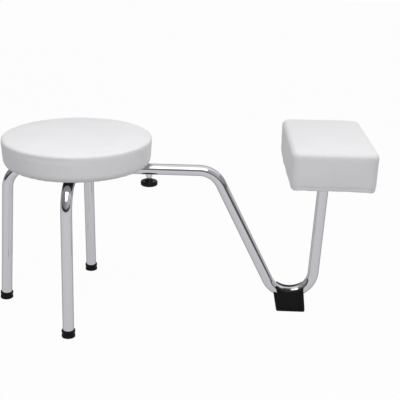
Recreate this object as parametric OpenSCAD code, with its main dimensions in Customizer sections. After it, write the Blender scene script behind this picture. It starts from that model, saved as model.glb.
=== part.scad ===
// Pedicure stool with a clamped footrest arm.
// A round upholstered seat stands on three splayed tube legs in a T. A fourth support,
// one long bent tube, plugs into the frame under the seat, runs down to a rubber floor
// block and rises again to carry an upholstered foot pad. Millimetres, +Z up, +X towards
// the pad. The origin is on the floor, under the middle of the whole piece.

/* [Seat] */
// Diameter of the round seat at its widest
seat_d = 342; // [320:1:370]
// Height of the seat's top edge above the floor
seat_h = 419; // [405:1:450]
// Thickness of the cushion from its underside to its top edge
seat_t = 64; // [56:1:72]
// Rise of the seat's middle above its edge
seat_crown = 4; // [2:0.5:8]
// Radius of the seat's top edge
seat_top_r = 15; // [10:1:18]
// Radius of the seat's bottom edge
seat_low_r = 14; // [8:1:16]
// How far the side of the seat draws in at the bottom
seat_draw_in = 5; // [2:0.5:8]

/* [Upholstery] */
// Thickness of the vinyl cover
cover_t = 1.2; // [0.8:0.1:2]
// Width of the vinyl turned under each board
hem_w = 24; // [16:1:30]
// Thickness of the plywood boards
board_t = 12; // [9:0.5:15]
// Thickness of the dust cloth under each board
cloth_t = 0.5; // [0.3:0.1:1]

/* [Tubes] */
// Outside diameter of the chromed tube
tube_d = 25.4; // [24:0.1:27]
// Wall of the chromed tube
tube_wall = 1.5; // [1.2:0.1:2]
// Radius of every bend, on the tube's centreline
bend_r = 57; // [50:1:62]
// Growth of the tube's diameter in a bend, where the die squeezed it
bend_swell = 0.1; // [0.04:0.02:0.2]

/* [Stool frame] */
// Distance from the seat's axis to the middle of each foot on the floor
foot_r = 184; // [175:1:200]
// Outward lean of the legs from the vertical, in degrees
leg_splay = 3.4; // [2:0.1:5]
// Distance from the seat's axis to the bolts that hold the seat
seat_bolt_r = 92; // [80:1:98]
// How far the receiver tube stands out past the seat
receiver_out = 12; // [6:1:20]

/* [Foot caps] */
// Outside diameter of the rubber foot caps
cap_d = 31; // [30.5:0.1:34]
// Height of the foot caps
cap_h = 16; // [14:0.5:24]
// Rubber under the end of the tube
cap_floor = 4; // [3:0.5:5]
// Depth of the waist round each cap
cap_waist = 0.8; // [0.4:0.1:1]
// Height of each of the cap's two rolled rings
cap_ring_h = 5; // [4:0.25:6]
// Radius of the rolled edges of a cap
cap_edge_r = 1.6; // [1:0.1:2]

/* [Footrest arm] */
// Distance from the seat's axis to the corner where the level and slanted runs would meet
arm_corner_x = 317.5; // [300:0.5:340]
// Lean of the slanted run from the vertical, in degrees
arm_slant = 26.7; // [24:0.1:30]
// Lean of the riser from the vertical, in degrees
riser_lean = 1.9; // [0:0.1:4]
// Height of the centreline at the bottom of the U-bend
arm_low_z = 40.5; // [36:0.5:46]
// Length of insert tube inside the receiver when the arm is pushed home
insert_in = 150; // [140:1:155]
// Length of insert tube fixed inside the arm
insert_hold = 45; // [30:1:60]
// Radial clearance of the insert tube in the tubes round it
insert_gap = 0.1; // [0.05:0.01:0.1]
// Gap between the end of the arm and the end of the receiver
shoulder_gap = 0.2; // [0.1:0.05:0.5]

/* [Foot pad] */
// Width of the foot pad, along the arm
pad_w = 184; // [170:1:200]
// Length of the foot pad, across the arm
pad_l = 300; // [270:1:330]
// Thickness of the foot pad from its underside to its top edge
pad_t = 83; // [66:1:90]
// Height of the foot pad's top edge above the floor
pad_h = 432; // [415:1:450]
// Rise of the foot pad's middle above its edge
pad_crown = 4; // [2:0.5:8]
// Radius of the foot pad's top edge
pad_top_r = 13; // [10:1:18]
// Radius of the foot pad's bottom edge
pad_low_r = 11; // [8:1:14]
// Radius of the foot pad's upright corners
pad_corner_r = 20; // [18:1:26]
// How far the pad's sides draw in at the bottom
pad_draw_in = 6; // [2:0.5:8]
// How far the pad's sides swell between their corners
pad_swell = 2; // [1:0.5:3]

/* [Pad plate] */
// Width of the steel plate under the pad, along the arm
plate_w = 120; // [110:1:130]
// Length of the steel plate, across the arm
plate_l = 92; // [80:1:110]
// Thickness of the steel plate
plate_t = 3; // [2:0.5:4]
// Radius of the plate's corners
plate_corner_r = 10; // [6:1:12]
// Distance from the plate's edges to its screw holes
plate_hole_in = 16; // [14:1:20]

/* [Floor block] */
// Reach of the block from the lowest point of the bend towards the stool
block_near = 28; // [24:1:32]
// Reach of the block from the lowest point of the bend away from the stool, at the floor
block_far = 41; // [38:1:46]
// Width of the block across the arm, at the floor
block_w = 46; // [42:1:60]
// Width of the block across the arm at its top
block_top_w = 39; // [36:1:46]
// How far the outer end of the block leans in towards its top
block_taper = 7; // [3:1:9]
// Height of the rim at the lowest point of the saddle
block_rim_z = 50; // [46:0.5:50]
// Radius of the saddle's rim, seen from the side
block_rim_r = 52; // [48:1:70]
// Shift of the saddle's rim away from the stool, past the lowest point of the bend
block_rim_x = 3; // [2:0.5:7]
// Radius of the block's outside edges
block_edge_r = 4; // [2:0.5:6]
// Width of the raised border on the block's faces
block_border = 6; // [4:0.5:8]
// Depth of the sunk panel inside that border
block_panel = 1; // [0.5:0.1:1.5]
// Reach of the nose under the slanted run, past the block's near face
block_nose = 7; // [4:0.5:9]
// Width of that nose
block_nose_w = 30; // [24:1:34]
// Height of that nose
block_nose_h = 40; // [34:1:44]

/* [Clamp] */
// Distance from the end of the receiver back to the clamp's axis
clamp_in = 16.5; // [14:0.5:22]
// Diameter of the clamp knob
knob_d = 39.5; // [36:0.5:44]
// Height of the knob's grip
knob_h = 13.5; // [12:0.5:16]
// Height of the knob's hub above the grip
hub_h = 4.5; // [3:0.5:5]
// Diameter of the top of the hub
hub_d = 14; // [13:0.5:18]
// Gap from the hub to the nut when the clamp is tight
hub_gap = 4; // [3:0.5:6]
// Number of grip flutes round the knob
flutes = 20; // [12:1:24]
// Diameter of the clamp's thread
stud_d = 8; // [8:1:8]
// Width of the welded nut across its flats
nut_af = 13; // [13:0.5:15]
// Height of the welded nut below the tube
nut_h = 6.5; // [5:0.5:8]
// Radial clearance of the thread in the nut
thread_gap = 0.06; // [0.03:0.01:0.1]

/* [Fasteners] */
// Diameter of the bolts and screws
bolt_d = 6; // [6:1:6]
// Width of a bolt head across its flats
head_af = 10; // [10:0.5:11]
// Height of a bolt head
head_h = 4; // [3:0.5:5]
// Radial clearance of a bolt in its holes
bolt_gap = 0.25; // [0.15:0.05:0.4]
// Diameter of the saddle washers
washer_d = 16; // [14:0.5:18]
// Thickness of a saddle washer where it is thinnest
washer_t = 2; // [1.5:0.5:3]
// Diameter of a tee nut's flange
tee_d = 19; // [17:0.5:20]
// Thickness of a tee nut's flange
tee_t = 1.2; // [1:0.1:1.5]
// Wall of a tee nut's barrel
tee_wall = 0.9; // [0.7:0.1:1.2]

/* [Hidden] */

// Smoothness of round pieces, and the overrun of every cut
round_fn = 144;
tube_fn = 96;
small_fn = 48;
cut = 1;
bend_over = 2;

// Colours as the photograph shows them
chrome_colour = "#c4c4c8";
steel_colour = "#a9adb0";
vinyl_colour = "#ececee";
foam_colour = "#e8dcae";
wood_colour = "#cda873";
rubber_colour = "#1b1b1d";
cloth_colour = "#2c2c2e";

// Heights and radii of the stool
seat_r = seat_d / 2;
tube_r = tube_d / 2;
bore_r = tube_r - tube_wall;
seat_low_z = seat_h - seat_t;
frame_top_z = seat_low_z - cloth_t - bend_swell / 2;
frame_z = frame_top_z - tube_r;
frame_low_z = frame_z - tube_r;
seat_board_r = seat_r - seat_draw_in - seat_low_r;
seat_board_z = seat_low_z + cover_t;

// A leg's axis meets the level run at this radius, before the bend rounds it
leg_turn = 90 - leg_splay;
leg_corner_r = foot_r - frame_z * tan(leg_splay);
leg_tangent = bend_r * tan(leg_turn / 2);
leg_end_z = cap_floor * cos(leg_splay);
leg_end_r = foot_r - leg_end_z * tan(leg_splay);
leg_run = (frame_z - leg_end_z) / cos(leg_splay) - leg_tangent;
level_half = leg_corner_r - leg_tangent;

// The receiver, and the clamp in it
receiver_end = seat_r + receiver_out;
clamp_x = receiver_end - clamp_in;
stud_r = stud_d / 2 - thread_gap;
cope_gap = 0.05;

// The arm's centreline: a level run, a slant, the U-bend and the riser
arm_start = receiver_end + shoulder_gap;
arm_turn = 90 - arm_slant;
arm_tangent = bend_r * tan(arm_turn / 2);
bend_z = arm_low_z + bend_r;
slant_offset = arm_corner_x * cos(arm_slant) + frame_z * sin(arm_slant);
bend_x = (slant_offset + bend_r - bend_z * sin(arm_slant)) / cos(arm_slant);
slant_len = (bend_x - arm_corner_x) * sin(arm_slant) + (frame_z - bend_z) * cos(arm_slant);
riser_foot_z = bend_z - bend_r * sin(riser_lean);
riser_foot_x = bend_x + bend_r * cos(riser_lean);
u_turn = 180 - arm_slant - riser_lean;

// The foot pad and its plate
pad_low_z = pad_h - pad_t;
plate_z = pad_low_z - cloth_t - plate_t;
pad_x = riser_foot_x + (plate_z - riser_foot_z) * tan(riser_lean);
pad_board_z = pad_low_z + cover_t;
pad_board_half = [pad_w, pad_l] / 2 - [1, 1] * (pad_swell + pad_draw_in + pad_low_r);
pad_board_corner_r = pad_corner_r - pad_draw_in;
riser_run = (plate_z - riser_foot_z) / cos(riser_lean);

// Outermost point of a foot cap, from the seat's axis
cap_r = cap_d / 2;
cap_base = -cap_r * tan(leg_splay);
cap_reach = foot_r - (cap_base + cap_edge_r) * sin(leg_splay)
    + (cap_r - cap_edge_r) * cos(leg_splay) + cap_edge_r;

// The seat's axis, measured from the middle of the whole piece
seat_x = (cap_reach - pad_x - pad_w / 2) / 2;

// Everything below is drawn from the seat's axis and moved to the origin here
module from_seat() {
    translate([seat_x, 0, 0]) children();
}

// Points along an arc, from angle a0 to angle a1
function arc(centre, r, a0, a1, steps) = [
    for (i = [0 : steps])
        let (a = a0 + (a1 - a0) * i / steps)
            centre + r * [cos(a), sin(a)]
];

// Moves what follows to the far end of a bend, turned by its angle
module past_bend(angle) {
    translate([bend_r, 0, 0]) rotate([0, angle, 0]) translate([-bend_r, 0, 0]) children();
}

// A bend from the origin, towards +X. It is swept a little too far and trimmed by the plane
// that the next run starts on, so that the two faces meet exactly. Its circle starts at
// circle_start degrees from the outside of the bend.
module bend(d, angle, circle_start) {
    difference() {
        translate([bend_r, 0, 0]) rotate([90, 0, 180])
            rotate_extrude(angle = angle + bend_over, $fn = round_fn)
                translate([bend_r, 0]) rotate(circle_start)
                    circle(d = d + bend_swell, $fn = tube_fn);
        past_bend(angle) translate([-d, -d, 0]) cube([2 * d, 2 * d, tube_d]);
    }
}

// A round rod that follows straight runs and the bends between them. It starts at the
// origin along +Z. A positive turn bends it towards +X and a negative one towards -X. Every
// circle along it starts on the same side, so the seams of runs and bends line up.
module bent_rod(d, runs, turns, i = 0) {
    cylinder(d = d, h = runs[i], $fn = tube_fn);
    if (i < len(turns)) {
        side = turns[i] < 0 ? 180 : 0;
        angle = abs(turns[i]);
        translate([0, 0, runs[i]]) rotate([0, 0, side]) {
            bend(d, angle, 180 - side);
            past_bend(angle) rotate([0, 0, -side]) bent_rod(d, runs, turns, i + 1);
        }
    }
}

// The same rod as an open tube
module bent_tube(runs, turns) {
    last = len(runs) - 1;
    longer = [for (i = [0 : last]) runs[i] + (i == 0 ? cut : 0) + (i == last ? cut : 0)];
    difference() {
        bent_rod(tube_d, runs, turns);
        translate([0, 0, -cut]) bent_rod(2 * bore_r, longer, turns);
    }
}

// A regular hexagon, measured across its flats
module hexagon(af) {
    circle(d = af / cos(30), $fn = 6);
}

// A rectangle with round corners, centred
module rounded_rectangle(size, r) {
    for (x = [-1, 1], y = [-1, 1])
        translate([x * (size.x / 2 - r), y * (size.y / 2 - r)]) circle(r, $fn = small_fn);
    square([size.x - 2 * r, size.y], center = true);
    square([size.x, size.y - 2 * r], center = true);
}

// Seat

// Half section of the seat cushion, drawn inset from its outside by a thickness
function seat_section(inset) =
    let (
        low_centre = [seat_r - seat_draw_in - seat_low_r, seat_low_z + seat_low_r],
        top_centre = [seat_r - seat_top_r, seat_h - seat_top_r],
        flat_r = top_centre.x,
        crown_steps = 8
    )
    concat(
        [[0, seat_low_z + inset]],
        arc(low_centre, seat_low_r - inset, -90, -5, 7),
        arc(top_centre, seat_top_r - inset, 0, 84, 8),
        [for (i = [crown_steps - 1 : -1 : 0])
            let (s = i / crown_steps)
                [flat_r * s, seat_h - inset + seat_crown * (1 - s * s)]]
    );

module seat_cover() {
    color(vinyl_colour) from_seat() difference() {
        rotate_extrude($fn = round_fn) polygon(seat_section(0));
        rotate_extrude($fn = round_fn) polygon(seat_section(cover_t));
        translate([0, 0, seat_low_z - cut])
            cylinder(r = seat_board_r - hem_w, h = cut + cover_t + cut, $fn = round_fn);
    }
}

module seat_board_blank() {
    translate([0, 0, seat_board_z]) cylinder(r = seat_board_r, h = board_t, $fn = round_fn);
}

module seat_foam() {
    color(foam_colour) from_seat() difference() {
        rotate_extrude($fn = round_fn) polygon(seat_section(cover_t));
        seat_board_blank();
    }
}

// The seat is bolted through the front, back and left runs
module at_seat_bolts() {
    for (place = [[0, -seat_bolt_r], [0, seat_bolt_r], [-seat_bolt_r, 0]])
        translate(place) children();
}

module seat_board() {
    color(wood_colour) from_seat() difference() {
        seat_board_blank();
        at_seat_bolts() tee_nut_seat(seat_board_z);
    }
}

module seat_dust_cloth() {
    color(cloth_colour) from_seat() translate([0, 0, frame_top_z]) difference() {
        cylinder(r = seat_board_r - hem_w / 3, h = cloth_t, $fn = round_fn);
        at_seat_bolts() translate([0, 0, -cut])
            cylinder(r = bolt_d / 2 + bolt_gap, h = cloth_t + 2 * cut, $fn = small_fn);
    }
}

// Fasteners

// A tee nut hammered into the top of a board whose underside is at height z
module tee_nut(z) {
    flange_z = z + board_t - tee_t;
    barrel_z = z + board_t / 3;
    difference() {
        union() {
            translate([0, 0, flange_z]) cylinder(d = tee_d, h = tee_t, $fn = small_fn);
            translate([0, 0, barrel_z])
                cylinder(r = bolt_d / 2 + thread_gap + tee_wall, h = flange_z - barrel_z,
                    $fn = small_fn);
        }
        translate([0, 0, z]) cylinder(r = bolt_d / 2 + thread_gap, h = board_t + cut,
            $fn = small_fn);
    }
}

// The hole and the recess that a tee nut sits in
module tee_nut_seat(z) {
    translate([0, 0, z - cut])
        cylinder(r = bolt_d / 2 + thread_gap + tee_wall, h = board_t + 2 * cut, $fn = small_fn);
    translate([0, 0, z + board_t - tee_t]) cylinder(d = tee_d, h = tee_t + cut, $fn = small_fn);
}

// A hexagon bolt whose head rests against a face at height z
module bolt_up(z, grip) {
    translate([0, 0, z - head_h]) intersection() {
        linear_extrude(head_h) hexagon(head_af);
        cylinder(r1 = head_af / 2, r2 = head_af / 2 + head_h, h = head_h, $fn = small_fn);
    }
    translate([0, 0, z]) cylinder(d = bolt_d, h = grip, $fn = small_fn);
}

module seat_tee_nuts() {
    color(steel_colour) from_seat() at_seat_bolts() tee_nut(seat_board_z);
}

module seat_bolts() {
    bearing_z = frame_low_z - washer_t;
    grip = seat_board_z + board_t - bearing_z;
    color(steel_colour) from_seat() at_seat_bolts() bolt_up(bearing_z, grip);
}

// One washer, hollowed to sit on the tube that runs along X
module saddle_washer() {
    difference() {
        translate([0, 0, frame_low_z - washer_t])
            cylinder(d = washer_d, h = washer_t + tube_r, $fn = small_fn);
        translate([0, 0, frame_z]) rotate([0, 90, 0])
            cylinder(r = tube_r, h = 2 * washer_d, center = true, $fn = small_fn);
        translate([-washer_d, -washer_d, frame_z - tube_r / 2])
            cube([2 * washer_d, 2 * washer_d, tube_d]);
        translate([0, 0, frame_low_z - washer_t - cut])
            cylinder(r = bolt_d / 2 + bolt_gap, h = tube_d, $fn = small_fn);
    }
}

module saddle_washers() {
    color(steel_colour) from_seat() {
        for (y = [-seat_bolt_r, seat_bolt_r])
            translate([0, y, 0]) rotate([0, 0, 90]) saddle_washer();
        translate([-seat_bolt_r, 0, 0]) saddle_washer();
    }
}

// Stool frame

module bolt_hole() {
    translate([0, 0, frame_low_z - cut])
        cylinder(r = bolt_d / 2 + bolt_gap, h = tube_d + 2 * cut, $fn = small_fn);
}

// Starts at a foot on the -X side and climbs the leg
module from_left_foot() {
    translate([-leg_end_r, 0, leg_end_z]) rotate([0, leg_splay, 0]) children();
}

// Trims a tube end to seat against the side of the front and back legs' tube
module cope() {
    translate([0, 0, frame_z]) rotate([90, 0, 0])
        cylinder(r = tube_r + cope_gap, h = 2 * tube_d, center = true, $fn = small_fn);
}

module front_back_leg_tube() {
    color(chrome_colour) from_seat() difference() {
        rotate([0, 0, 90]) from_left_foot()
            bent_tube([leg_run, 2 * level_half, leg_run], [leg_turn, leg_turn]);
        for (y = [-seat_bolt_r, seat_bolt_r]) translate([0, y, 0]) bolt_hole();
    }
}

module left_leg_tube() {
    color(chrome_colour) from_seat() difference() {
        from_left_foot() bent_tube([leg_run, level_half], [leg_turn]);
        cope();
        translate([-seat_bolt_r, 0, 0]) bolt_hole();
    }
}

module receiver_tube() {
    color(chrome_colour) from_seat() difference() {
        translate([0, 0, frame_z]) rotate([0, 90, 0]) bent_tube([receiver_end], []);
        cope();
        translate([clamp_x, 0, frame_low_z - cut])
            cylinder(r = stud_d / 2 + bolt_gap, h = tube_r + cut, $fn = small_fn);
    }
}

// Foot caps

// Half section of a cap: two rolled rings with a waist between, and the socket inside
function cap_section() =
    let (
        top = cap_base + cap_h + cap_r * tan(leg_splay),
        socket = tube_r + cope_gap,
        e = cap_edge_r
    )
    concat(
        [[0, cap_base]],
        arc([cap_r - e, cap_base + e], e, -90, 0, 4),
        [[cap_r, cap_base + cap_ring_h], [cap_r - cap_waist, cap_base + cap_ring_h + cap_waist],
            [cap_r - cap_waist, top - cap_ring_h], [cap_r, top - cap_ring_h + cap_waist]],
        arc([cap_r - e / 2, top - e / 2], e / 2, 0, 90, 3),
        [[socket, top], [socket, cap_floor], [0, cap_floor]]
    );

// A cap on the leg at the -X side, flattened where it stands
module foot_cap() {
    difference() {
        translate([-foot_r, 0, 0]) rotate([0, leg_splay, 0])
            rotate_extrude($fn = round_fn) polygon(cap_section());
        translate([-foot_r - cap_d, -cap_d, -cap_d]) cube([2 * cap_d, 2 * cap_d, cap_d]);
    }
}

module left_foot_cap() {
    color(rubber_colour) from_seat() foot_cap();
}

module front_foot_cap() {
    color(rubber_colour) from_seat() rotate([0, 0, 90]) foot_cap();
}

module back_foot_cap() {
    color(rubber_colour) from_seat() rotate([0, 0, -90]) foot_cap();
}

// Clamp

// Everything in the clamp is drawn on the clamp's axis, at real heights
module at_clamp() {
    from_seat() translate([clamp_x, 0, 0]) children();
}

insert_low_z = frame_z - bore_r + insert_gap;
tip_seat_gap = 0.05;
tip_h = 2.5;
tip_peg_r = 1.5;
tip_peg_h = 3;
stud_top_z = insert_low_z - tip_seat_gap - tip_h;
nut_low_z = frame_low_z - nut_h;
hub_top_z = nut_low_z - hub_gap;
grip_top_z = hub_top_z - hub_h;
knob_low_z = grip_top_z - knob_h;
stud_low_z = knob_low_z + knob_h / 3;

module clamp_nut() {
    color(chrome_colour) at_clamp() difference() {
        translate([0, 0, nut_low_z]) intersection() {
            linear_extrude(nut_h + tube_r) hexagon(nut_af);
            cylinder(r1 = nut_af / 2, r2 = nut_af / 2 + nut_h + tube_r, h = nut_h + tube_r,
                $fn = small_fn);
        }
        translate([0, 0, frame_z]) rotate([0, 90, 0])
            cylinder(r = tube_r, h = 2 * nut_af, center = true, $fn = small_fn);
        translate([-nut_af, -nut_af, frame_z - tube_r / 2]) cube([2 * nut_af, 2 * nut_af, tube_d]);
        translate([0, 0, nut_low_z - cut]) cylinder(d = stud_d, h = nut_h + tube_r, $fn = small_fn);
    }
}

// The tip is pegged into the stud, so it presses on the insert tube without turning
module clamp_tip() {
    color("ivory") at_clamp() {
        translate([0, 0, stud_top_z]) cylinder(r = stud_r - tube_wall / 3, h = tip_h, $fn = small_fn);
        translate([0, 0, stud_top_z - tip_peg_h])
            cylinder(r = tip_peg_r, h = tip_peg_h, $fn = small_fn);
    }
}

module clamp_stud() {
    color(steel_colour) at_clamp() difference() {
        translate([0, 0, stud_low_z])
            cylinder(r = stud_r, h = stud_top_z - tip_seat_gap - stud_low_z, $fn = small_fn);
        translate([0, 0, stud_top_z - tip_peg_h - cut])
            cylinder(r = tip_peg_r + thread_gap, h = tip_peg_h + 2 * cut, $fn = small_fn);
    }
}

// Half section of the knob: a domed grip with rounded edges under a conical hub
function knob_section() =
    let (r = knob_d / 2, edge = knob_h / 4, dome = knob_h / 6)
    concat(
        [[0, knob_low_z]],
        arc([r - edge, knob_low_z + dome + edge], edge, -90, 0, 5),
        arc([r - edge, grip_top_z - edge], edge, 0, 90, 5),
        [[hub_d / 2 + hub_h, grip_top_z], [hub_d / 2, hub_top_z], [0, hub_top_z]]
    );

module clamp_knob() {
    flute_r = knob_d * PI / flutes / 4;
    color(rubber_colour) at_clamp() difference() {
        rotate_extrude($fn = round_fn) polygon(knob_section());
        for (i = [0 : flutes - 1])
            rotate([0, 0, 360 * i / flutes])
                translate([knob_d / 2 + flute_r / 2, 0, knob_low_z - cut])
                    cylinder(r = flute_r, h = knob_h + cut + cut, $fn = small_fn / 2);
        translate([0, 0, stud_low_z])
            cylinder(r = stud_r, h = hub_top_z - stud_low_z + cut, $fn = small_fn);
    }
}

// Footrest arm

arm_runs = [
    arm_corner_x - arm_tangent - arm_start, slant_len - arm_tangent, riser_run + tube_r,
];
arm_turns = [arm_turn, -u_turn];

module arm_tube() {
    color(chrome_colour) from_seat() difference() {
        translate([arm_start, 0, frame_z]) rotate([0, 90, 0]) bent_tube(arm_runs, arm_turns);
        translate([pad_x - tube_d, -tube_d, plate_z]) cube(2 * tube_d);
        translate([bend_x, 0, 0]) cylinder(r = rivet_r, h = arm_low_z, $fn = small_fn);
    }
}

module insert_tube() {
    outer_r = bore_r - insert_gap;
    length = insert_in + insert_hold;
    color(steel_colour) from_seat() translate([receiver_end - insert_in, 0, frame_z])
        rotate([0, 90, 0]) difference() {
            cylinder(r = outer_r, h = length, $fn = small_fn);
            translate([0, 0, -cut])
                cylinder(r = outer_r - tube_wall, h = length + 2 * cut, $fn = small_fn);
        }
}

// Foot pad

// One level outline of the pad, drawn inward from its widest by `inset`. Its corners are
// arcs and its sides swell between them. `shrink` scales it towards the middle.
function pad_outline(inset, shrink) =
    let (
        half = [pad_w / 2 - pad_swell - inset, pad_l / 2 - pad_swell - inset],
        r = pad_corner_r - inset,
        arc_steps = 3,
        side_steps = 6
    )
    [for (q = [0 : 3])
        let (
            sx = q == 0 || q == 3 ? 1 : -1,
            sy = q < 2 ? 1 : -1,
            centre = [sx * (half.x - r), sy * (half.y - r)],
            along_x = q % 2 == 0,
            reach = along_x ? half.x - r : half.y - r
        )
        each concat(
            [for (p = arc(centre, r, 90 * q, 90 * q + 90, arc_steps)) p * shrink],
            [for (i = [1 : side_steps - 1])
                let (
                    s = 1 - 2 * i / side_steps,
                    out = pad_swell * (1 - s * s),
                    flat = along_x
                        ? [sx * reach * s, sy * (half.y + out)]
                        : [sx * (half.x + out), sy * reach * s]
                )
                flat * shrink]
        )];

// The levels of the pad: bottom edge, drawn-in side, top edge and crown, as
// [inset, height, shrink], drawn inset from the outside by a thickness
function pad_levels(t) =
    let (
        low_r = pad_low_r - t,
        top_r = pad_top_r - t,
        low_z = pad_low_z + pad_low_r,
        top_z = pad_h - pad_top_r,
        edge_steps = 4,
        side_steps = 3,
        crown_steps = 4
    )
    concat(
        [for (i = [0 : edge_steps])
            let (a = 90 * i / edge_steps)
                [pad_draw_in + pad_low_r - low_r * sin(a), low_z - low_r * cos(a), 1]],
        [for (i = [1 : side_steps - 1])
            let (s = i / side_steps)
                [t + pad_draw_in * (1 - sin(90 * s)), low_z + (top_z - low_z) * s, 1]],
        [for (i = [0 : edge_steps])
            let (a = 90 * i / edge_steps)
                [pad_top_r - top_r * cos(a), top_z + top_r * sin(a), 1]],
        [for (i = [1 : crown_steps - 1])
            let (s = 1 - i / crown_steps)
                [pad_top_r, pad_h - t + pad_crown * (1 - s * s), s]]
    );

// The pad's whole soft form, as one closed surface from level to level
module pad_form(t) {
    levels = pad_levels(t);
    rings = [for (l = levels) [for (p = pad_outline(l[0], l[2])) [p.x, p.y, l[1]]]];
    n = len(rings[0]);
    count = len(rings);
    peak = n * count;
    side_faces = [for (k = [0 : count - 2], i = [0 : n - 1])
        let (
            a = k * n + i,
            b = k * n + (i + 1) % n
        )
        each [[a, a + n, b + n], [a, b + n, b]]];
    peak_faces = [for (i = [0 : n - 1]) [peak, (count - 1) * n + (i + 1) % n, (count - 1) * n + i]];
    base_faces = [for (i = [0 : n - 1]) [peak + 1, i, (i + 1) % n]];
    points = [for (ring = rings) each ring];
    translate([pad_x, 0, 0]) polyhedron(
        points = concat(points, [[0, 0, pad_h - t + pad_crown], [0, 0, pad_low_z + t]]),
        faces = concat(side_faces, peak_faces, base_faces)
    );
}

module pad_board_outline(margin) {
    rounded_rectangle(2 * (pad_board_half - [margin, margin]), pad_board_corner_r);
}

module pad_board_blank() {
    translate([pad_x, 0, pad_board_z]) linear_extrude(board_t) pad_board_outline(0);
}

module pad_cover() {
    color(vinyl_colour) from_seat() difference() {
        pad_form(0);
        pad_form(cover_t);
        translate([pad_x, 0, pad_low_z - cut])
            linear_extrude(cut + cover_t + cut) pad_board_outline(hem_w);
    }
}

module pad_foam() {
    color(foam_colour) from_seat() difference() {
        pad_form(cover_t);
        pad_board_blank();
    }
}

module at_pad_screws() {
    for (x = [-1, 1], y = [-1, 1])
        translate([pad_x + x * (plate_w / 2 - plate_hole_in), y * (plate_l / 2 - plate_hole_in)])
            children();
}

module pad_board() {
    color(wood_colour) from_seat() difference() {
        pad_board_blank();
        at_pad_screws() tee_nut_seat(pad_board_z);
    }
}

module pad_dust_cloth() {
    color(cloth_colour) from_seat() difference() {
        translate([pad_x, 0, pad_low_z - cloth_t])
            linear_extrude(cloth_t) pad_board_outline(hem_w / 3);
        at_pad_screws() translate([0, 0, pad_low_z - cloth_t - cut])
            cylinder(r = bolt_d / 2 + bolt_gap, h = cloth_t + 2 * cut, $fn = small_fn);
    }
}

module pad_tee_nuts() {
    color(steel_colour) from_seat() at_pad_screws() tee_nut(pad_board_z);
}

module pad_plate() {
    color(steel_colour) from_seat() difference() {
        translate([pad_x, 0, plate_z])
            linear_extrude(plate_t) rounded_rectangle([plate_w, plate_l], plate_corner_r);
        at_pad_screws() translate([0, 0, plate_z - cut])
            cylinder(r = bolt_d / 2 + bolt_gap, h = plate_t + 2 * cut, $fn = small_fn);
    }
}

module pad_screws() {
    color(steel_colour) from_seat() at_pad_screws()
        bolt_up(plate_z, pad_board_z + board_t - plate_z);
}

// Floor block

rivet_r = 4.5;
rivet_flange_r = 6.5;
rivet_flange_t = 0.8;
rivet_h = 11;
screw_recess_r = 8;
screw_seat_z = 12;
rivet_flange_z = arm_low_z - tube_r - rivet_flange_t;

// The rim's arc passes through the lowest point of the saddle and rises into two horns
block_rim_centre = [bend_x + block_rim_x, block_rim_z + block_rim_r];
block_near_x = bend_x - block_near;
block_far_x = bend_x + block_far;
horn_h = block_rim_centre.y - sqrt(block_rim_r ^ 2 - (block_rim_centre.x - block_near_x) ^ 2);
block_lean = atan((block_w - block_top_w) / 2 / horn_h);

// Side view of the block, with x along the arm and y up
module block_side(margin) {
    e = block_edge_r;
    x0 = block_near_x + margin;
    x1 = block_far_x - margin;
    top = horn_h - margin;
    difference() {
        polygon(concat(
            arc([x0 + e, margin + e], e, 180, 270, 6),
            arc([x1 - e, margin + e], e, -90, 0, 6),
            [[x1 - block_taper, top], [x0, top]]
        ));
        translate(block_rim_centre) circle(block_rim_r + margin, $fn = round_fn);
    }
}

module block_blank() {
    rotate([90, 0, 0]) linear_extrude(block_w, center = true) block_side(0);
}

// Nose that widens upwards and carries the tube where it leaves the block
module block_nose() {
    x0 = block_near_x;
    rotate([90, 0, 0]) linear_extrude(block_nose_w, center = true) polygon([
        [x0 + block_edge_r, block_edge_r],
        [x0, block_edge_r],
        [x0 - block_nose, block_nose_h],
        [x0 + block_edge_r, block_nose_h]
    ]);
}

// Prism with rounded edges that leans inwards with one of the block's two broad faces
module block_plan(side) {
    mirror([0, side, 0]) translate([(block_near_x + block_far_x) / 2, block_w / 2, 0])
        rotate([block_lean, 0, 0]) translate([0, -block_w, -block_edge_r])
            linear_extrude(horn_h + 2 * block_edge_r)
                rounded_rectangle([block_far_x - block_near_x, 2 * block_w], block_edge_r);
}

module floor_block() {
    color(rubber_colour) from_seat() difference() {
        union() {
            intersection() {
                block_blank();
                block_plan(0);
                block_plan(1);
            }
            block_nose();
        }
        for (side = [0, 1])
            mirror([0, side, 0]) translate([0, block_w / 2, 0])
                rotate([90 + block_lean, 0, 0]) translate([0, 0, -block_panel])
                    linear_extrude(2 * block_panel) block_side(block_border);
        translate([arm_start, 0, frame_z]) rotate([0, 90, 0])
            bent_rod(tube_d + 2 * cope_gap, arm_runs, arm_turns);
        translate([bend_x, 0, -cut]) {
            cylinder(r = screw_recess_r, h = screw_seat_z + cut, $fn = small_fn);
            cylinder(r = bolt_d / 2 + bolt_gap, h = arm_low_z + cut, $fn = small_fn);
        }
        translate([bend_x, 0, rivet_flange_z - bolt_gap])
            cylinder(r = rivet_flange_r + bolt_gap, h = tube_r, $fn = small_fn);
    }
}

module block_screw() {
    color(steel_colour) from_seat() translate([bend_x, 0, 0])
        bolt_up(screw_seat_z, arm_low_z - screw_seat_z);
}

module block_rivet_nut() {
    color(steel_colour) from_seat() translate([bend_x, 0, rivet_flange_z]) difference() {
        union() {
            cylinder(r = rivet_flange_r, h = rivet_flange_t, $fn = small_fn);
            cylinder(r = rivet_r - cope_gap, h = rivet_h, $fn = small_fn);
        }
        translate([0, 0, -cut])
            cylinder(r = bolt_d / 2 + thread_gap, h = rivet_h + 2 * cut, $fn = small_fn);
    }
}

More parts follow.
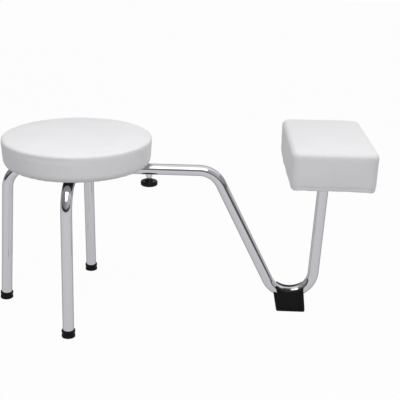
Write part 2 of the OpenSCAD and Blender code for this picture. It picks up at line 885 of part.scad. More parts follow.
seat_cover();
seat_foam();
seat_board();
seat_dust_cloth();
seat_tee_nuts();
seat_bolts();
saddle_washers();
front_back_leg_tube();
left_leg_tube();
receiver_tube();
front_foot_cap();
back_foot_cap();
left_foot_cap();
clamp_nut();
clamp_tip();
clamp_stud();
clamp_knob();
arm_tube();
insert_tube();
pad_plate();
pad_screws();
pad_tee_nuts();
pad_board();
pad_dust_cloth();
pad_foam();
pad_cover();
floor_block();
block_screw();
block_rivet_nut();
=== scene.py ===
"""A pedicure stool with a clamped footrest arm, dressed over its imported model.

The round seat and the foot pad are pulled vinyl cushions, swollen by a short cloth simulation.
The frame, the arm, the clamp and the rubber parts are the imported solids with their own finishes.
Lengths are in metres, +Z up, +X from the seat towards the foot pad.
"""

from __future__ import annotations

import logging
import math
from collections.abc import Callable
from dataclasses import dataclass
from enum import Enum

import bmesh
import bpy
from mathutils import Matrix, Vector, noise


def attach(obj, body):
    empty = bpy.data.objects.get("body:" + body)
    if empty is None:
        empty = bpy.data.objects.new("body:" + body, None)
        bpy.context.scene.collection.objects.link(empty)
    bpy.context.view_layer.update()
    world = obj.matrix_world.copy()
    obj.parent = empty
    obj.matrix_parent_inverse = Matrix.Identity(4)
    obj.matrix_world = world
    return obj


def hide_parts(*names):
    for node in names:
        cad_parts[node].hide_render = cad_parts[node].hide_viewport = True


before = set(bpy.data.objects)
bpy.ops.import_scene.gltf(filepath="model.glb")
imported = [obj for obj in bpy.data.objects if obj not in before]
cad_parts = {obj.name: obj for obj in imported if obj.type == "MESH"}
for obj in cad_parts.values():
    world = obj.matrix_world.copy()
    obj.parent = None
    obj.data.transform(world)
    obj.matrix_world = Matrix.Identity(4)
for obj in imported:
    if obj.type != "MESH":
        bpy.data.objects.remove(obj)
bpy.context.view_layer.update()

MM = 0.001
SEAT_X = -230.986 * MM
PAD_X = (569.407 - 230.986) * MM
NEAR = 0.01 * MM
LOG = logging.getLogger("pedicure_stool")

Tree = bpy.types.NodeTree
Socket = bpy.types.NodeSocket


class Body(Enum):
    """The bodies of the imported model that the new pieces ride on."""

    STOOL = "stool"
    ARM = "arm"


def linear(colour: str) -> tuple[float, float, float, float]:
    """Turns a colour as written into the linear light that a shader takes.

    Args:
        colour: sRGB as "#RRGGBB".

    Returns:
        Linear red, green, blue and an alpha of 1.
    """
    parts = [int(colour[i : i + 2], 16) / 255 for i in (1, 3, 5)]
    r, g, b = (p / 12.92 if p <= 0.04045 else ((p + 0.055) / 1.055) ** 2.4 for p in parts)
    return r, g, b, 1.0


def add(tree: Tree, kind: str, sockets: dict | None = None, **settings) -> bpy.types.Node:
    """Adds one node with its settings, values and links.

    Args:
        tree: The node tree that takes the node.
        kind: The node's type name without its "ShaderNode" start.
        sockets: Input name or index to a value, or to an output socket to link from.
        settings: The node's own properties.

    Returns:
        The new node.
    """
    node = tree.nodes.new("ShaderNode" + kind)
    for key, value in settings.items():
        setattr(node, key, value)
    for key, value in (sockets or {}).items():
        if isinstance(value, Socket):
            tree.links.new(value, node.inputs[key])
        else:
            node.inputs[key].default_value = value
    return node


def ramp(tree: Tree, value: Socket, stops: list[tuple[float, str]]) -> Socket:
    """Maps a value to colours through stops.

    Args:
        tree: The node tree.
        value: The socket that drives the ramp.
        stops: Position and sRGB colour of each stop, from low to high.

    Returns:
        The ramp's colour output.
    """
    node = add(tree, "ValToRGB", {"Fac": value})
    elements = node.color_ramp.elements
    while len(elements) < len(stops):
        elements.new(1.0)
    for element, (position, colour) in zip(elements, stops):
        element.position, element.color = position, linear(colour)
    return node.outputs["Color"]


def combine(tree: Tree, operation: str, first: Socket, second: Socket | float) -> Socket:
    """Combines two values by one step of arithmetic.

    Args:
        tree: The node tree.
        operation: The Math node's operation.
        first: The first value's socket.
        second: The second value, or its socket.

    Returns:
        The result's socket.
    """
    return add(tree, "Math", {0: first, 1: second}, operation=operation).outputs[0]


@dataclass(frozen=True)
class Finish:
    """What every finish has: a name and its shader's plain values."""

    name: str = "finish"
    colour: str = "#808080"
    metallic: float = 0.0
    roughness: float = 0.5
    gloss: float = 0.5

    def start(self) -> tuple[Tree, bpy.types.Node, Socket]:
        """Makes the material with its shader.

        Returns:
            The node tree, the Principled shader and the object coordinates.
        """
        material = bpy.data.materials.new(self.name)
        material.use_nodes = True
        tree = material.node_tree
        shader = tree.nodes["Principled BSDF"]
        shader.inputs["Base Color"].default_value = linear(self.colour)
        shader.inputs["Metallic"].default_value = self.metallic
        shader.inputs["Roughness"].default_value = self.roughness
        shader.inputs["Specular IOR Level"].default_value = self.gloss
        return tree, shader, add(tree, "TexCoord").outputs["Object"]

    def material(self) -> bpy.types.Material:
        """Gives the finish's material, made on first use."""
        return bpy.data.materials.get(self.name) or self.make()

    def make(self) -> bpy.types.Material:
        """Makes the material; each finish has its own."""
        raise NotImplementedError


def spread(tree: Tree, place: Socket, size: float, detail: float = 3.0) -> Socket:
    """Adds soft noise whose blobs have a real size.

    Args:
        tree: The node tree.
        place: Coordinates in metres.
        size: Size of a blob in metres.
        detail: Octaves of finer noise.

    Returns:
        The noise's value from 0 to 1.
    """
    sockets = {"Vector": place, "Scale": 1 / size, "Detail": detail, "Roughness": 0.55}
    return add(tree, "TexNoise", sockets).outputs["Fac"]


def between(
    tree: Tree, value: Socket, low: float, high: float, start: float = 0.35, end: float = 0.65,
) -> Socket:
    """Maps a value to a range, and holds it at both ends.

    Args:
        tree: The node tree.
        value: The socket to map.
        low: Result at start.
        high: Result at end.
        start: Value that gives low.
        end: Value that gives high.

    Returns:
        The mapped value.
    """
    sockets = {"Value": value, "From Min": start, "From Max": end, "To Min": low, "To Max": high}
    return add(tree, "MapRange", sockets).outputs["Result"]


def relief(tree: Tree, shader: bpy.types.Node, layers: list[tuple[Socket, float]]) -> None:
    """Stacks bumps on a shader.

    Args:
        tree: The node tree.
        shader: The shader that takes the normal.
        layers: Height socket and real depth in metres of each bump.
    """
    normal = None
    for height, depth in layers:
        bump = add(tree, "Bump", {"Height": height, "Distance": depth, "Strength": 1.0})
        if normal is not None:
            tree.links.new(normal, bump.inputs["Normal"])
        normal = bump.outputs["Normal"]
    tree.links.new(normal, shader.inputs["Normal"])


@dataclass(frozen=True)
class ChromePlate(Finish):
    """Bright chrome on bent steel tube: a clear mirror with faint waves and handling haze."""

    name: str = "bright_chrome_plate"
    colour: str = "#D2D2D7"
    metallic: float = 1.0
    roughness: float = 0.06
    edge: str = "#8E8E94"
    haze_size: float = 55 * MM
    wave_size: float = 16 * MM
    wave_depth: float = 0.02 * MM

    def make(self) -> bpy.types.Material:
        """Chrome over polished steel; the haze is from hands, the waves from polishing the tube.

        Returns:
            The finish's material.
        """
        tree, shader, place = self.start()
        shader.inputs["Specular Tint"].default_value = linear(self.edge)
        haze = spread(tree, place, self.haze_size, 5)
        tree.links.new(between(tree, haze, 0.045, 0.13, 0.4, 0.75), shader.inputs["Roughness"])
        relief(tree, shader, [(spread(tree, place, self.wave_size, 1), self.wave_depth)])
        return bpy.data.materials[self.name]


@dataclass(frozen=True)
class UpholsteryVinyl(Finish):
    """White expanded vinyl with a fine pebble grain and a satin sheen."""

    name: str = "white_upholstery_vinyl"
    colour: str = "#EBEAEC"
    roughness: float = 0.42
    gloss: float = 0.45
    rub_size: float = 70 * MM
    pebble: float = 0.9 * MM
    pebble_depth: float = 0.05 * MM

    def make(self) -> bpy.types.Material:
        """Pebbled vinyl; it is a little greyer where it has been rubbed and wiped.

        Returns:
            The finish's material.
        """
        tree, shader, place = self.start()
        rubbed = spread(tree, place, self.rub_size, 4)
        tree.links.new(
            ramp(tree, rubbed, [(0.3, "#E9E8EB"), (0.55, self.colour), (0.8, "#EDEDEE")]),
            shader.inputs["Base Color"],
        )
        tree.links.new(between(tree, rubbed, 0.38, 0.5), shader.inputs["Roughness"])
        sockets = {"Vector": place, "Scale": 1 / self.pebble}
        pebbles = add(tree, "TexVoronoi", sockets, feature="SMOOTH_F1").outputs["Distance"]
        pores = spread(tree, place, self.pebble / 3, 2)
        relief(tree, shader, [(pebbles, self.pebble_depth), (pores, self.pebble_depth / 3)])
        return bpy.data.materials[self.name]


@dataclass(frozen=True)
class MouldedRubber(Finish):
    """Black rubber from a matt mould, with a trace of bloom."""

    name: str = "moulded_black_rubber"
    colour: str = "#131314"
    roughness: float = 0.55
    gloss: float = 0.16
    bloom_size: float = 14 * MM
    grain: float = 0.5 * MM
    grain_depth: float = 0.04 * MM

    def make(self) -> bpy.types.Material:
        """Matt-moulded rubber; the grey clouds are bloom.

        Returns:
            The finish's material.
        """
        tree, shader, place = self.start()
        bloom = spread(tree, place, self.bloom_size, 5)
        tree.links.new(
            ramp(tree, bloom, [(0.35, "#0B0B0C"), (0.6, "#101011"), (0.85, "#1A1A1B")]),
            shader.inputs["Base Color"],
        )
        tree.links.new(between(tree, bloom, 0.46, 0.66), shader.inputs["Roughness"])
        relief(tree, shader, [(spread(tree, place, self.grain, 2), self.grain_depth)])
        return bpy.data.materials[self.name]


@dataclass(frozen=True)
class KnobPlastic(Finish):
    """Black thermoset of the clamp knob, satin from the mould and polished by fingers."""

    name: str = "black_knob_plastic"
    colour: str = "#101011"
    roughness: float = 0.35
    gloss: float = 0.2
    wear_size: float = 9 * MM
    grain: float = 0.8 * MM
    grain_depth: float = 0.02 * MM

    def make(self) -> bpy.types.Material:
        """Thermoset plastic; the grip is shinier in patches.

        Returns:
            The finish's material.
        """
        tree, shader, place = self.start()
        wear = spread(tree, place, self.wear_size, 4)
        tint = ramp(tree, wear, [(0.3, "#09090A"), (0.8, "#151516")])
        tree.links.new(tint, shader.inputs["Base Color"])
        tree.links.new(between(tree, wear, 0.28, 0.46), shader.inputs["Roughness"])
        relief(tree, shader, [(spread(tree, place, self.grain, 2), self.grain_depth)])
        return bpy.data.materials[self.name]


@dataclass(frozen=True)
class ZincSteel(Finish):
    """Zinc-plated fasteners and plates, dull silver with a fine crystal mottle."""

    name: str = "zinc_plated_steel"
    colour: str = "#A9ADAF"
    metallic: float = 1.0
    roughness: float = 0.34
    crystal: float = 3 * MM
    grain: float = 0.7 * MM
    grain_depth: float = 0.015 * MM

    def make(self) -> bpy.types.Material:
        """Zinc plate; the mottle is its crystals, and the roughness follows it.

        Returns:
            The finish's material.
        """
        tree, shader, place = self.start()
        mottle = spread(tree, place, self.crystal, 4)
        tint = ramp(tree, mottle, [(0.3, "#9A9EA1"), (0.7, "#B6BABB")])
        tree.links.new(tint, shader.inputs["Base Color"])
        tree.links.new(between(tree, mottle, 0.26, 0.42), shader.inputs["Roughness"])
        relief(tree, shader, [(spread(tree, place, self.grain, 2), self.grain_depth)])
        return bpy.data.materials[self.name]


@dataclass(frozen=True)
class TurnedNylon(Finish):
    """Natural nylon of the clamp tip, with turning rings."""

    name: str = "turned_natural_nylon"
    colour: str = "#ECE9DF"
    roughness: float = 0.45
    depth_weight: float = 0.15
    depth_reach: float = 1 * MM
    cloud_size: float = 4 * MM
    ring_radian: float = 0.35 * MM
    ring_depth: float = 0.01 * MM

    def make(self) -> bpy.types.Material:
        """Turned nylon, a little see-through; the rings are left by the turning tool.

        Returns:
            The finish's material.
        """
        tree, shader, place = self.start()
        shader.inputs["Subsurface Weight"].default_value = self.depth_weight
        shader.inputs["Subsurface Scale"].default_value = self.depth_reach
        cloud = spread(tree, place, self.cloud_size)
        tint = ramp(tree, cloud, [(0.3, "#E6E2D6"), (0.7, "#F0EEE6")])
        tree.links.new(tint, shader.inputs["Base Color"])
        # At scale 1 a wave texture goes through 20 radians in a metre.
        scale = 1 / self.ring_radian / 20
        rings = add(tree, "TexWave", {"Vector": place, "Scale": scale}, bands_direction="Z")
        relief(tree, shader, [(rings.outputs["Fac"], self.ring_depth)])
        return bpy.data.materials[self.name]


@dataclass(frozen=True)
class BirchPlywood(Finish):
    """Sanded birch plywood: pale grain on the faces and darker glue lines between the plies."""

    name: str = "sanded_birch_plywood"
    colour: str = "#D9BE93"
    roughness: float = 0.62
    ply: float = 1.5 * MM
    grain: float = 4 * MM
    grain_depth: float = 0.05 * MM
    stretch: tuple[float, float, float] = (0.06, 1.0, 1.0)

    def make(self) -> bpy.types.Material:
        """Birch plies; the grain runs along X, and the plies stack along Z.

        Returns:
            The finish's material.
        """
        tree, shader, place = self.start()
        stretched = add(tree, "Mapping", {"Vector": place, "Scale": self.stretch}).outputs["Vector"]
        grain = spread(tree, stretched, self.grain, 6)
        height = add(tree, "SeparateXYZ", {"Vector": place}).outputs["Z"]
        layer = combine(tree, "MULTIPLY", height, 1 / self.ply)
        glue = combine(tree, "PINGPONG", layer, 1.0)
        wood = ramp(tree, grain, [(0.3, "#C9A877"), (0.55, self.colour), (0.8, "#E4CDA8")])
        edge = ramp(tree, glue, [(0.0, "#8A6A45"), (0.12, "#FFFFFF"), (1.0, "#F1E6D4")])
        sockets = {"Factor": 1.0, 6: wood, 7: edge}
        mix = add(tree, "Mix", sockets, data_type="RGBA", blend_type="MULTIPLY")
        tree.links.new(mix.outputs[2], shader.inputs["Base Color"])
        relief(tree, shader, [(grain, self.grain_depth)])
        return bpy.data.materials[self.name]


@dataclass(frozen=True)
class CushionFoam(Finish):
    """Open-cell polyurethane foam, cream, with its cells."""

    name: str = "cream_cushion_foam"
    colour: str = "#EFE3BE"
    roughness: float = 0.9
    age_size: float = 40 * MM
    cell: float = 0.7 * MM
    cell_depth: float = 0.2 * MM

    def make(self) -> bpy.types.Material:
        """Foam cells as small pits, yellowing in soft patches.

        Returns:
            The finish's material.
        """
        tree, shader, place = self.start()
        age = spread(tree, place, self.age_size)
        tint = ramp(tree, age, [(0.3, "#E6D6A8"), (0.7, "#F3EACD")])
        tree.links.new(tint, shader.inputs["Base Color"])
        cells = add(tree, "TexVoronoi", {"Vector": place, "Scale": 1 / self.cell})
        relief(tree, shader, [(cells.outputs["Distance"], self.cell_depth)])
        return bpy.data.materials[self.name]


@dataclass(frozen=True)
class SpunDustCloth(Finish):
    """Black non-woven dust cloth: pressed fibres with rows of bonding points."""

    name: str = "black_dust_cloth"
    colour: str = "#262628"
    roughness: float = 0.95
    sheen: float = 0.25
    fibre: float = 2.2 * MM
    fibre_depth: float = 0.05 * MM
    point_gap: float = 1.4 * MM
    point_depth: float = 0.06 * MM

    def make(self) -> bpy.types.Material:
        """Spun-bonded cloth; the pits are its bonding points and the streaks its fibres.

        Returns:
            The finish's material.
        """
        tree, shader, place = self.start()
        fibres = spread(tree, place, self.fibre, 6)
        tint = ramp(tree, fibres, [(0.3, "#1D1D1F"), (0.75, "#343436")])
        tree.links.new(tint, shader.inputs["Base Color"])
        sockets = {"Vector": place, "Scale": 1 / self.point_gap, "Randomness": 0.0}
        points = add(tree, "TexVoronoi", sockets).outputs["Distance"]
        pits = between(tree, points, 0.0, 1.0, 0.1, 0.45)
        relief(tree, shader, [(pits, self.point_depth), (fibres, self.fibre_depth)])
        shader.inputs["Sheen Weight"].default_value = self.sheen
        return bpy.data.materials[self.name]


CHROME = ChromePlate()
VINYL = UpholsteryVinyl()
RUBBER = MouldedRubber()
KNOB = KnobPlastic()
STEEL = ZincSteel()
NYLON = TurnedNylon()
PLYWOOD = BirchPlywood()
FOAM = CushionFoam()
DUST_CLOTH = SpunDustCloth()


def finish_nodes(finish: Finish, *nodes: str) -> None:
    """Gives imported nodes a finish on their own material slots.

    Args:
        finish: The finish to wear.
        nodes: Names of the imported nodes.
    """
    for name in nodes:
        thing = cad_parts[name]
        if not thing.material_slots:
            thing.data.materials.append(None)
        for slot in thing.material_slots:
            slot.material = finish.material()
        LOG.info("%s wears %s", name, finish.name)


def as_object(name: str, mesh_edit: bmesh.types.BMesh) -> bpy.types.Object:
    """Turns a finished bmesh into a smooth object at the origin.

    Args:
        name: Name of the object and its mesh.
        mesh_edit: The bmesh, which is freed.

    Returns:
        The object, linked to the scene.
    """
    mesh = bpy.data.meshes.new(name)
    mesh_edit.to_mesh(mesh)
    mesh_edit.free()
    mesh.shade_smooth()
    thing = bpy.data.objects.new(name, mesh)
    bpy.context.scene.collection.objects.link(thing)
    return thing


def evaluated(thing: bpy.types.Object) -> None:
    """Applies an object's modifiers to its mesh, and takes them off.

    Args:
        thing: The object to settle.
    """
    graph = bpy.context.evaluated_depsgraph_get()
    settled = bpy.data.meshes.new_from_object(thing.evaluated_get(graph))
    thing.modifiers.clear()
    old, thing.data = thing.data, settled
    bpy.data.meshes.remove(old)
    settled.shade_smooth()


def level_ring(edit: bmesh.types.BMesh, height: float) -> list[bmesh.types.BMEdge]:
    """Finds the edges that lie level at a height."""
    return [e for e in edit.edges if all(abs(v.co.z - height) < NEAR for v in e.verts)]


def round_off(
    edit: bmesh.types.BMesh, parts: list, size: float, segments: int = 6, affect: str = "EDGES",
) -> list[bmesh.types.BMVert]:
    """Rounds edges or corners of a form.

    Args:
        edit: The form.
        parts: The edges or vertices to round.
        size: The radius.
        segments: Number of faces across the round.
        affect: "EDGES" or "VERTICES".

    Returns:
        The vertices of the rounds.
    """
    return bmesh.ops.bevel(
        edit, geom=parts, offset=size, offset_type="OFFSET", segments=segments, profile=0.5,
        affect=affect, material=-1,
    )["verts"]


def smooth(t: float, start: float = 0.0, reach: float = 1.0) -> float:
    """Eases from 0 to 1, flat at both ends.

    Args:
        t: The value to ease.
        start: Where the result leaves 0.
        reach: How much further on it comes to 1.

    Returns:
        The eased share.
    """
    t = max(0.0, min(1.0, (t - start) / reach))
    return t * t * (3 - 2 * t)


def hump(t: float, middle: float, reach: float) -> float:
    """Gives 1 at the middle and falls softly to 0 at the reach on either side."""
    return smooth(1 - abs((t - middle) / reach))


@dataclass(frozen=True)
class Ripple:
    """Soft noise in space: how many blobs to a metre, how high, and where it starts."""

    per_metre: float
    height: float
    shift: tuple[float, float, float] = (0, 0, 0)

    def at(self, point: Vector) -> float:
        """Gives the noise at a point, between minus and plus its height."""
        return noise.noise(point * self.per_metre + Vector(self.shift)) * self.height


@dataclass
class StuffedForm:
    """What the seat and the foot pad share: foam that swells inside a tight vinyl skin."""

    name: str
    low_z: float
    edge_z: float
    grain: float = 4.5 * MM
    pressure: float = 4.0
    give: float = 0.25
    cap: float = 5 * MM
    steps: int = 20
    evening: int = 24
    hold_reach: float = 6 * MM
    dents: tuple[Ripple, ...] = ()

    def held(self, point: Vector) -> float:
        """Says how firmly the cover is held: fully under the board, free above it."""
        return smooth(1 - (point.z - self.low_z) / self.hold_reach)

    def swell(self, thing: bpy.types.Object) -> None:
        """Inflates a form as cloth, with its board side held and every move capped.

        Args:
            thing: The closed form, a little smaller than the finished one.
        """
        remesh = thing.modifiers.new("skin", "REMESH")
        remesh.mode, remesh.voxel_size = "VOXEL", self.grain
        evaluated(thing)
        group = thing.vertex_groups.new(name="held")
        for vertex in thing.data.vertices:
            group.add([vertex.index], self.held(vertex.co), "REPLACE")
        before = [(vertex.co.copy(), vertex.normal.copy()) for vertex in thing.data.vertices]
        cloth = thing.modifiers.new("vinyl", "CLOTH")
        cloth.settings.use_pressure = True
        cloth.settings.uniform_pressure_force = self.pressure
        cloth.settings.effector_weights.gravity = 0
        cloth.settings.vertex_group_mass = "held"
        cloth.settings.mass = 0.25
        cloth.settings.tension_stiffness = 25
        cloth.settings.compression_stiffness = 12
        cloth.settings.shear_stiffness = 10
        cloth.settings.bending_stiffness = 1.5
        cloth.settings.quality = 5
        cloth.point_cache.frame_start, cloth.point_cache.frame_end = 1, self.steps
        for step in range(1, self.steps + 1):
            bpy.context.scene.frame_set(step)
        evaluated(thing)
        moves = [
            normal * min(self.cap, max(0.0, (vertex.co - start).dot(normal)) * self.give)
            for vertex, (start, normal) in zip(thing.data.vertices, before)
        ]
        for vertex, (start, _), move in zip(thing.data.vertices, before, self.even(thing.data, moves)):
            vertex.co = start + move

    def even(self, mesh: bpy.types.Mesh, moves: list[Vector]) -> list[Vector]:
        """Evens out the swelling: dense foam lets the cover out softly, and never lets it in.

        Args:
            mesh: The form's mesh.
            moves: How far each of its points moved.

        Returns:
            The evened moves.
        """
        near: list[list[int]] = [[] for _ in moves]
        for edge in mesh.edges:
            a, b = edge.vertices
            near[a].append(b)
            near[b].append(a)
        for _ in range(self.evening):
            moves = [
                sum((moves[j] for j in ring), own) / (len(ring) + 1) for own, ring in zip(moves, near)
            ]
        return moves

    def refine(self, thing: bpy.types.Object, shape: Callable[[Vector, Vector], Vector]) -> None:
        """Smooths the form once, then lays creases and puckers in it.

        Args:
            thing: The swollen form.
            shape: Takes a point and its normal, and gives the point's new place.
        """
        finer = thing.modifiers.new("finer", "SUBSURF")
        finer.levels = finer.render_levels = 1
        evaluated(thing)
        normals = [vertex.normal.copy() for vertex in thing.data.vertices]
        for vertex, normal in zip(thing.data.vertices, normals):
            vertex.co = shape(vertex.co, normal)

    def dress(self, thing: bpy.types.Object, body: Body, *nodes: str) -> bpy.types.Object:
        """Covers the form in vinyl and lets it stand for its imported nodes.

        Args:
            thing: The finished form.
            body: The body that it rides on.
            nodes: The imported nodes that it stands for.

        Returns:
            The same object.
        """
        thing.data.materials.clear()
        thing.data.materials.append(VINYL.material())
        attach(thing, body.value)
        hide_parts(*nodes)
        LOG.info("%s: %d faces", thing.name, len(thing.data.polygons))
        return thing


@dataclass
class RoundSeat(StuffedForm):
    """The round seat: a foam disc on a board, under one tight vinyl cover."""

    name: str = "seat_cushion"
    low_z: float = 355 * MM
    edge_z: float = 419 * MM
    radius: float = 172.6 * MM
    crown: float = 2 * MM
    top_round: float = 6 * MM
    low_round: float = 13 * MM
    draw_in: float = 3.5 * MM
    slack: float = 2 * MM
    dents: tuple[Ripple, ...] = (Ripple(20, 0.35 * MM), Ripple(60, 0.1 * MM, (7, 3, 1)))
    side_from: float = 0.85
    side_blend: float = 0.1
    gathers: int = 46
    gather_drift: Ripple = Ripple(30, 3.0)
    gather_depth: float = 0.4 * MM
    gather_band: tuple[float, float] = (0.0, 0.35)
    crease_depth: float = 0.9 * MM
    crease_band: tuple[float, float] = (0.8, 0.14)
    crease_arc: tuple[float, float] = (-1.85, 0.8)

    def blank(self) -> bpy.types.Object:
        """Turns a disc into the cushion's form before it swells.

        Returns:
            The closed form.
        """
        edit = bmesh.new()
        low_radius = self.radius - self.draw_in
        foot = bmesh.ops.create_circle(edit, cap_ends=True, radius=low_radius, segments=96)
        base = edit.faces[:]
        bmesh.ops.translate(edit, vec=(0, 0, self.low_z), verts=foot["verts"])
        raised = bmesh.ops.extrude_face_region(edit, geom=base)["geom"]
        lifted = [v for v in raised if isinstance(v, bmesh.types.BMVert)]
        top_z = self.edge_z - self.slack
        bmesh.ops.translate(edit, vec=(0, 0, top_z - self.low_z), verts=lifted)
        widen = self.radius / low_radius
        bmesh.ops.scale(edit, vec=(widen, widen, 1), verts=lifted)
        bmesh.ops.recalc_face_normals(edit, faces=edit.faces)
        for height, size in ((top_z, self.top_round), (self.low_z, self.low_round)):
            round_off(edit, level_ring(edit, height), size)
        bmesh.ops.translate(edit, vec=(SEAT_X, 0, 0), verts=edit.verts)
        return as_object(self.name, edit)

    def shape(self, point: Vector, normal: Vector) -> Vector:
        """Crowns the top, and lays the soft dents and the gathers at the board's edge.

        Args:
            point: A point of the swollen form.
            normal: Its normal.

        Returns:
            Its new place.
        """
        out = Vector((point.x - SEAT_X, point.y, 0))
        share = out.length / self.radius
        angle = math.atan2(out.y, out.x)
        rise = max(0.0, normal.z) * self.crown * max(0.0, 1 - share * share)
        soft = sum(dent.at(point) for dent in self.dents)
        level = (point.z - self.low_z) / (self.edge_z - self.low_z)
        side = smooth(share, self.side_from, self.side_blend)
        wave = math.sin(self.gathers * angle + self.gather_drift.at(out))
        gather = hump(level, *self.gather_band) * side * (0.5 + 0.5 * wave)
        crease = side * hump(level, *self.crease_band) * hump(angle, *self.crease_arc)
        sunk = soft - self.gather_depth * gather - self.crease_depth * crease
        moved = point + normal * sunk + Vector((0, 0, rise))
        moved.z = max(moved.z, self.low_z)
        return moved

    def build(self) -> bpy.types.Object:
        """Makes the seat cushion and dresses it.

        Returns:
            The cushion.
        """
        thing = self.blank()
        self.swell(thing)
        self.refine(thing, self.shape)
        return self.dress(thing, Body.STOOL, "seat_cover", "seat_foam")


@dataclass
class FootPad(StuffedForm):
    """The foot pad: a foam block on a board, its vinyl folded under at the corners."""

    name: str = "foot_pad_cushion"
    low_z: float = 349 * MM
    edge_z: float = 434.5 * MM
    width: float = 184 * MM
    length: float = 302 * MM
    corner: float = 20 * MM
    crown: float = 2 * MM
    top_round: float = 9 * MM
    low_round: float = 5 * MM
    draw_in: float = 1 * MM
    slack: float = 2 * MM
    hold_reach: float = 5 * MM
    dents: tuple[Ripple, ...] = (Ripple(18, 0.45 * MM, (3, 9, 4)), Ripple(55, 0.12 * MM))
    corner_x: tuple[float, float] = (0.71, 0.26)
    corner_y: tuple[float, float] = (0.82, 0.16)
    droop_inner: float = 3.2 * MM
    droop_outer: float = 4.5 * MM
    droop_band: tuple[float, float] = (0.0, 0.55)
    folds: int = 14
    fold_start: float = 1.0
    fold_depth: float = 1.1 * MM
    fold_reach: float = 24 * MM
    fold_band: tuple[float, float] = (0.05, 0.3)
    waves: Ripple = Ripple(34, 1.2 * MM)
    wave_band: tuple[float, float] = (0.03, 0.14)
    wrap_depth: float = 0.9 * MM
    wrap_band: tuple[float, float] = (0.09, 0.05)
    wrap_from: float = 0.8
    wrap_blend: float = 0.15

    def blank(self) -> bpy.types.Object:
        """Turns a cube into the pad's form before it swells.

        Returns:
            The closed form.
        """
        edit = bmesh.new()
        bmesh.ops.create_cube(edit, size=1)
        top_z = self.edge_z - self.slack
        size = (self.width, self.length, top_z - self.low_z)
        bmesh.ops.scale(edit, vec=size, verts=edit.verts)
        bmesh.ops.translate(edit, vec=(0, 0, (top_z + self.low_z) / 2), verts=edit.verts)
        upright = [e for e in edit.edges if abs(e.verts[0].co.z - e.verts[1].co.z) > NEAR]
        round_off(edit, upright, self.corner)
        for height, radius in ((top_z, self.top_round), (self.low_z, self.low_round)):
            round_off(edit, level_ring(edit, height), radius)
        for vertex in edit.verts:
            low = 1 - (vertex.co.z - self.low_z) / (top_z - self.low_z)
            for axis, half in ((0, self.width / 2), (1, self.length / 2)):
                vertex.co[axis] *= 1 - self.draw_in * low / half
        bmesh.ops.translate(edit, vec=(PAD_X, 0, 0), verts=edit.verts)
        return as_object(self.name, edit)

    def shape(self, point: Vector, normal: Vector) -> Vector:
        """Crowns the top, drops the lower corners and folds their puckers.

        Args:
            point: A point of the swollen form.
            normal: Its normal.

        Returns:
            Its new place.
        """
        x, y = (point.x - PAD_X) / (self.width / 2), point.y / (self.length / 2)
        level = (point.z - self.low_z) / (self.edge_z - self.low_z)
        rise = max(0.0, normal.z) * self.crown * max(0.0, (1 - x * x) * (1 - y * y))
        soft = sum(dent.at(point) for dent in self.dents)
        near_corner = smooth(abs(x), *self.corner_x) * smooth(abs(y), *self.corner_y)
        deepest = self.droop_outer if x > 0 else self.droop_inner
        droop = hump(level, *self.droop_band) * near_corner * deepest
        turn = math.atan2(
            abs(point.y) - self.length / 2 + self.fold_reach,
            abs(point.x - PAD_X) - self.width / 2 + self.fold_reach,
        )
        fan = 0.5 + 0.5 * math.sin(self.folds * turn + self.fold_start)
        fold = near_corner * hump(level, *self.fold_band) * fan
        out = max(abs(x), abs(y))
        wavy = hump(level, *self.wave_band) * out**6 * self.waves.at(point)
        wrap = hump(level, *self.wrap_band) * smooth(out, self.wrap_from, self.wrap_blend)
        sunk = soft - self.fold_depth * fold + wavy - self.wrap_depth * wrap
        return point + normal * sunk + Vector((0, 0, rise - droop))

    def build(self) -> bpy.types.Object:
        """Makes the foot pad and dresses it.

        Returns:
            The cushion.
        """
        thing = self.blank()
        self.swell(thing)
        self.refine(thing, self.shape)
        return self.dress(thing, Body.ARM, "pad_cover", "pad_foam")


